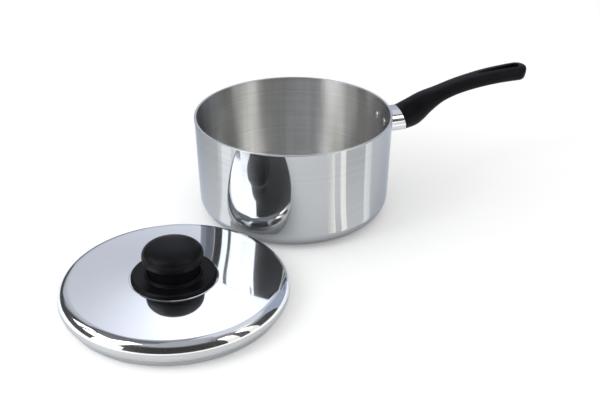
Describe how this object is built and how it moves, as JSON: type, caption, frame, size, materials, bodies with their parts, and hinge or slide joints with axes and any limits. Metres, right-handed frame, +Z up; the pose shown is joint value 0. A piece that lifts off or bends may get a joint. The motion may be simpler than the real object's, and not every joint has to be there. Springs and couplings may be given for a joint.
{
  "type": "saucepan with lid",
  "caption": "Straight-sided aluminium saucepan with a long black handle, and its polished lid with a black knob lying beside it.",
  "frame": {"origin": "centre of the underside of the pan's base, on the surface it stands on", "axes": "+Z up along the pan's axis, +X from the pan's axis out along the handle, +Y to the left seen from the pan towards the handle; the lid lies on the same surface at -X -Y"},
  "size_m": [0.4846, 0.311, 0.1152],
  "materials": {
    "pan_aluminium": "mirror polished outside, satin with fine turned lines inside",
    "lid_aluminium": "mirror polished on top, satin below",
    "guard_aluminium": "polished with fine lines round it",
    "rivet_aluminium": "satin",
    "zinc_steel": "zinc plated",
    "brass": "turned",
    "black_phenolic": "satin moulded phenolic"
  },
  "bodies": {
    "pan": {"pan_body": "pan_aluminium", "rivet_left": "rivet_aluminium", "rivet_right": "rivet_aluminium", "handle_bracket": "zinc_steel", "flame_guard": "guard_aluminium", "handle_grip": "black_phenolic", "handle_screw": "zinc_steel", "handle_screw_washer": "zinc_steel"},
    "lid": {"lid_shell": "lid_aluminium", "knob_skirt": "black_phenolic", "knob": "black_phenolic", "knob_insert": "brass", "knob_screw": "zinc_steel", "knob_washer": "zinc_steel"}
  },
  "joints": [
    {"name": "lid_lift", "type": "slide", "parent": "pan", "child": "lid", "axis": [0, 0, 1], "range_m": [0, 0.15]}
  ]
}
